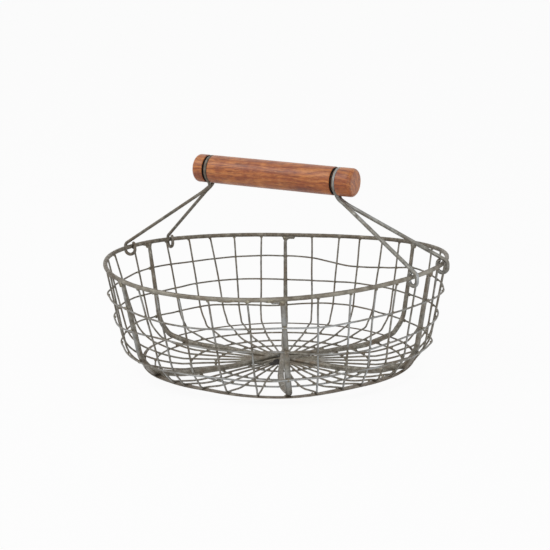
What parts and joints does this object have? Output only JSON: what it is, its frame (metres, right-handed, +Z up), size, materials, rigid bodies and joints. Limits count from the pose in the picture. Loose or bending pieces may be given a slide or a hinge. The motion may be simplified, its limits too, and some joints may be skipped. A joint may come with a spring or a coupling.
{
  "type": "onion basket",
  "caption": "Round wire onion basket: heavy ribs, thin uprights and hoops, carried by a turned wooden grip on wire bails that hook loosely over the rim.",
  "frame": {"origin": "on the standing surface, under the centre of the rim", "axes": "+X along the grip, which tilts down by 1.2 degrees toward +X, +Z up"},
  "size_m": [0.2869, 0.2896, 0.1763],
  "materials": {
    "galvanised_wire": "aged galvanised, dull with bright rubs",
    "heavy_rod": "aged galvanised, dull",
    "bail_wire": "aged galvanised, smoother",
    "turned_wood": "satin varnish"
  },
  "bodies": {
    "basket": {"rim_hoop": "heavy_rod", "side_hoop_upper": "galvanised_wire", "side_hoop_middle": "galvanised_wire", "side_hoop_lower": "galvanised_wire", "foot_strip": "galvanised_wire", "floor_hoop_outer": "galvanised_wire", "floor_hoop_middle": "galvanised_wire", "floor_hoop_inner": "galvanised_wire", "hub_hoop": "galvanised_wire", "rib_under": "heavy_rod", "rib_between": "heavy_rod", "rib_over": "heavy_rod", "upright_01": "galvanised_wire", "upright_02": "galvanised_wire", "upright_03": "galvanised_wire", "upright_04": "galvanised_wire", "upright_05": "galvanised_wire", "upright_06": "galvanised_wire", "upright_07": "galvanised_wire", "upright_08": "galvanised_wire", "upright_09": "galvanised_wire", "upright_10": "galvanised_wire", "upright_11": "galvanised_wire", "upright_12": "galvanised_wire", "upright_13": "galvanised_wire", "upright_14": "galvanised_wire", "upright_15": "galvanised_wire", "upright_16": "galvanised_wire", "upright_17": "galvanised_wire", "upright_18": "galvanised_wire", "upright_19": "galvanised_wire", "upright_20": "galvanised_wire", "upright_21": "galvanised_wire", "upright_22": "galvanised_wire", "upright_23": "galvanised_wire", "upright_24": "galvanised_wire", "upright_25": "galvanised_wire", "upright_26": "galvanised_wire", "upright_27": "galvanised_wire", "upright_28": "galvanised_wire", "upright_29": "galvanised_wire", "upright_30": "galvanised_wire"},
    "left_bail": {"left_bail": "bail_wire"},
    "right_bail": {"right_bail": "bail_wire"},
    "grip": {"wooden_grip": "turned_wood"}
  },
  "joints": [
    {"name": "left_bail_lift", "type": "slide", "parent": "basket", "child": "left_bail", "axis": [0, 0, 1], "range_m": [0, 0.0028]},
    {"name": "right_bail_lift", "type": "slide", "parent": "basket", "child": "right_bail", "axis": [0, 0, 1], "range_m": [0, 0.0028]},
    {"name": "grip_turn", "type": "hinge", "parent": "left_bail", "child": "grip", "pos_m": [-0.0049, 0.006, 0.1628], "axis": [0.9998, 0, -0.0209], "continuous": true}
  ],
  "couplings": [
    {"joint": "right_bail_lift", "follows": "left_bail_lift", "ratio": 1}
  ]
}
